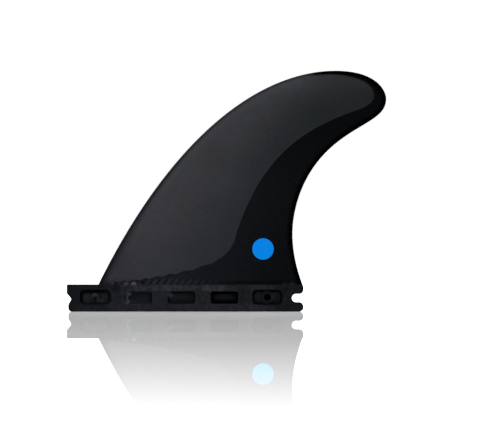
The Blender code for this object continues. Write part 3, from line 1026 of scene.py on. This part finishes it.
def moulded_tab():
    """Mottled moulding, darker at both ends, with painted shade and highlights on its pockets' walls and
    floors.
    """
    f = Finish("moulded_tab", roughness=0.6, specular=TAB_SPECULAR)
    middle = f.x.rise(-0.040, -0.031) * f.x.fall(0.034, 0.040)
    face = f.blend(middle, f.paint(24, 26, 28), f.paint(32.5, 33, 36.5))
    face = painted(f, face, TAB_PATCHES, f.grey)
    # Painted shade along the tab's top edge in front of the blade's foot
    top_edge_shade = f.z.rise(TAB_DEPTH - 0.0008, TAB_DEPTH) * f.x.fall(LEAD_FOOT.x, LEAD_FOOT.x + 0.002)
    face = f.shade(face, top_edge_shade * -0.4 + 1)
    mottle = f.grain(200.0) * 0.9 + f.grain(620.0, 4.0) * 1.9
    face = f.shade(face, mottle - 0.4)
    face = f.cloud(face, 300.0, warm=(1.06, 0.97, 1.03), cool=(0.93, 1.03, 0.98))
    normal = add_node(f.tree, "ShaderNodeSeparateXYZ",
                      Vector=add_node(f.tree, "ShaderNodeNewGeometry").outputs["Normal"])
    turn_x, turn_y, turn_z = [Wire(f.tree, normal.outputs[axis]) for axis in "XYZ"]
    wall = turn_y.math("ABSOLUTE").fall(0.85, 0.97)
    upright = (turn_x ** 2 / (turn_x ** 2 + turn_z ** 2 + 0.0001)).rise(0.2, 0.8)
    inside = f.x.rise(ROW_FRONT - HAIR, ROW_FRONT) * f.x.fall(ROW_REAR, ROW_REAR + HAIR)
    inside = inside * f.z.rise(ROW_LOW - HAIR, ROW_LOW) * f.z.fall(ROW_HIGH, ROW_HIGH + HAIR)
    inside = inside * f.y.math("ABSOLUTE").fall(TAB_SIDE - 3 * HAIR, TAB_SIDE - HAIR)
    hole = f.spot(REAR_BOSS["middle"], BOSS_LEVEL, HOLE_SHADE, HOLE_SHADE, softness=0.2)
    specular = (inside * (POCKET_SPECULAR - TAB_SPECULAR) + TAB_SPECULAR) * hole.taken_from(1)
    connect(f.tree, specular, f.shader.inputs["Specular IOR Level"])
    f.sheen = POCKET_SHEEN
    pockets = None
    # Each pocket's walls painted lighter or darker by the way they face, as painted light and shade
    for index, tone in enumerate(POCKET_SHADE_TONES):
        level = f.blend(turn_z.rise(-0.1, 0.1), f.slate(tone["top"]), f.slate(tone["foot"]))
        side = f.blend(turn_x.rise(-0.1, 0.1), f.slate(tone["back"]), f.slate(tone["front"]))
        colour = f.blend(wall, f.slate(tone["floor"]), f.blend(upright, level, side))
        if pockets is None:
            pockets = colour
        else:
            start = FRONT_POCKET + (index - 0.5) * POCKET_PITCH
            pockets = f.blend(f.x.rise(start - HAIR, start + HAIR), pockets, colour)
    floors = painted(f, pockets, POCKET_FLOOR_LIGHT_AND_SHADE, f.slate)
    pockets = f.blend(wall, floors, painted(f, pockets, POCKET_WALL_LIGHT_AND_SHADE, f.slate))
    # Black painted into the rear hole as its shade
    pockets = f.blend(hole, pockets, f.grey(0))
    pockets = f.shade(pockets, f.grain(900.0) * 0.8 + 0.6)
    return f.finish(f.blend(inside, face, pockets), bump_scale=1500.0, bump_height=0.00002)


def blue_print():
    """Plain blue disc with a black ring round it."""
    f = Finish("blue_print", roughness=0.4, specular=0.05)
    radius = ((f.x - PRINT_MIDDLE.x) ** 2 + (f.z - PRINT_MIDDLE.y) ** 2) ** 0.5
    edge = PRINT_RADIUS - PRINT_RING
    ring = radius.rise(edge - HAIR / 2, edge + HAIR / 2)
    body = f.blend(ring, f.paint(12, 132, 230), f.paint(3, 5, 8))
    body = f.shade(body, f.grain(1200.0) * 0.16 + 0.92)
    return f.finish(body, bump_scale=1800.0, bump_height=0.000006)


def white_floor():
    """Pale floor that mirrors the fin most strongly close by.

    Its own glow keeps it white to the camera where the lamps leave it darker, and keeps the fin's shadow.
    """
    material = bpy.data.materials.new("white_floor")
    material.use_nodes = True
    tree = material.node_tree
    tree.nodes.remove(tree.nodes["Principled BSDF"])
    source = tree.nodes.new("ShaderNodeTexCoord").outputs["Object"]
    split = add_node(tree, "ShaderNodeSeparateXYZ", Vector=source)
    x, y = Wire(tree, split.outputs["X"]), Wire(tree, split.outputs["Y"])
    away = (x ** 2 + y ** 2) ** 0.5
    height = away * CAMERA_MIDDLE.y / away.taken_from(CAMERA_DISTANCE).high(0.001)
    mirror = ((height / FADE_HEIGHT).taken_from(1) * MIRROR_HOLD).high(0.0).low(1.0) * MIRROR_SHARE
    paler_foot = height.fall(0.0010, 0.0034) * 0.09
    paler_middle = height.rise(0.0050, 0.0075) * height.fall(0.0095, 0.0130) * 0.04
    mirror = mirror * (paler_foot + paler_middle).taken_from(1)
    path = add_node(tree, "ShaderNodeLightPath")
    seen = (Wire(tree, path.outputs["Is Camera Ray"]) + path.outputs["Is Glossy Ray"]).low(1.0)
    lit = add_node(tree, "ShaderNodeBsdfDiffuse", Color=(0.5, 0.5, 0.5, 1))
    front = y.fall(-2.4, -1.1) * 0.22
    back = y.rise(-1.0, -0.2) * 0.08 + y.rise(0.2, 1.5) * 0.16
    sides = x.math("ABSOLUTE").rise(0.5, 2.0) * 0.24
    strength = front + back + sides + FLOOR_GLOW
    glow = add_node(tree, "ShaderNodeEmission", Color=(1, 1, 1, 1), Strength=seen * strength)
    white = add_node(tree, "ShaderNodeAddShader")
    tree.links.new(lit.outputs[0], white.inputs[0])
    tree.links.new(glow.outputs[0], white.inputs[1])
    gain = Wire(tree, path.outputs["Is Camera Ray"]) * (MIRROR_GAIN - 1) + 1
    gloss = add_node(tree, "ShaderNodeBsdfGlossy", Color=gain, Roughness=0.0)
    mixed = add_node(tree, "ShaderNodeMixShader")
    connect(tree, mirror, mixed.inputs[0])
    tree.links.new(white.outputs[0], mixed.inputs[1])
    tree.links.new(gloss.outputs[0], mixed.inputs[2])
    tree.links.new(mixed.outputs[0], tree.nodes["Material Output"].inputs["Surface"])
    return material


def build_stage():
    shape = bmesh.new()
    bmesh.ops.create_grid(shape, x_segments=1, y_segments=1, size=FLOOR_SIZE / 2)
    mesh = bpy.data.meshes.new("floor")
    shape.to_mesh(mesh)
    shape.free()
    mesh.materials.append(white_floor())
    place("floor", mesh)


def build_world():
    """White to the camera and in reflections, and a plain soft fill for everything else.

    The floor's mirror is raised so that the dark fin shows in it, and what it shows of the world is brought
    down to white again.
    """
    world = bpy.data.worlds.new("studio")
    bpy.context.scene.world = world
    world.use_nodes = True
    tree = world.node_tree
    path = add_node(tree, "ShaderNodeLightPath")
    seen = Wire(tree, path.outputs["Is Camera Ray"]) + path.outputs["Is Glossy Ray"]
    seen = (seen + path.outputs["Is Transmission Ray"]).low(1.0)
    background = tree.nodes["Background"]
    background.inputs["Color"].default_value = (1, 1, 1, 1)
    first_bounce = Wire(tree, path.outputs["Ray Depth"]).fall(1.2, 1.8)
    mirrored = Wire(tree, path.outputs["Is Singular Ray"]) * first_bounce
    strength = (seen * (1 - WORLD_FILL) + WORLD_FILL) * (mirrored * (1 / MIRROR_GAIN - 1) + 1)
    connect(tree, strength, background.inputs["Strength"])


def add_softbox(name, spot, size, power):
    """A square lamp that faces the fin."""
    light = bpy.data.lights.new(name, "AREA")
    light.shape = "SQUARE"
    light.size = size
    light.energy = power
    lamp = place(name, light)
    lamp.location = spot
    lamp.rotation_euler = (LAMP_TARGET - lamp.location).to_track_quat("-Z", "Y").to_euler()


def build_camera():
    camera = place("camera", bpy.data.cameras.new("camera"))
    camera.data.sensor_width = SENSOR
    camera.data.lens = LENS
    camera.data.clip_end = 20
    camera.location = (CAMERA_MIDDLE.x, -CAMERA_DISTANCE, CAMERA_MIDDLE.y)
    camera.rotation_euler = (UPRIGHT, 0, 0)
    bpy.context.scene.camera = camera


def build_fin():
    lead, trail = blade_guides()
    blade = grown("blade", foil_tree(), {
        "Leading Edge": lead, "Trailing Edge": trail, "Rings": BLADE_RINGS, "Columns": BLADE_COLUMNS,
        "Root Thickness": ROOT_THICKNESS, "Edge Thickness": EDGE_THICKNESS, "Taper": TAPER,
        "Material": dark_band(),
    })
    edit(blade, close_foot)
    common = (skin_tree(), {"Blade": blade, "Leading Edge": lead, "Trailing Edge": trail})
    facing = laid_skin("near_facing", common, facing_guides(), FACING_GRID, pale_facing(), FACING_PROUD,
                       scallops=(0.0, SCALLOP_DEPTH))
    ribs = laid_skin("near_ribs", common, rib_guides(), RIB_GRID, ribbed_foot(), RIB_BASE_PROUD,
                     RIB_HEIGHT, (SCALLOP_DEPTH, 0.0))
    disc = laid_skin("near_print", common, circle_guides("print", PRINT_MIDDLE, PRINT_RADIUS), PRINT_GRID,
                     blue_print(), PRINT_PROUD)
    discard([lead, trail])
    far = [far_copy(facing, "far_facing"), far_copy(ribs, "far_ribs"), far_copy(disc, "far_print")]
    tab = build_tab(moulded_tab())
    for piece in (blade, facing, ribs, disc, *far, tab):
        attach(piece, "root")
        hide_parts("fin")


build_camera()
build_world()
add_softbox("key_softbox", Vector((-0.9, -1.5, 1.0)), size=0.9, power=16)
add_softbox("fill_softbox", Vector((0.9, 1.4, 1.1)), size=0.9, power=8)
build_stage()
build_fin()

bpy.context.scene.view_settings.view_transform = "Standard"
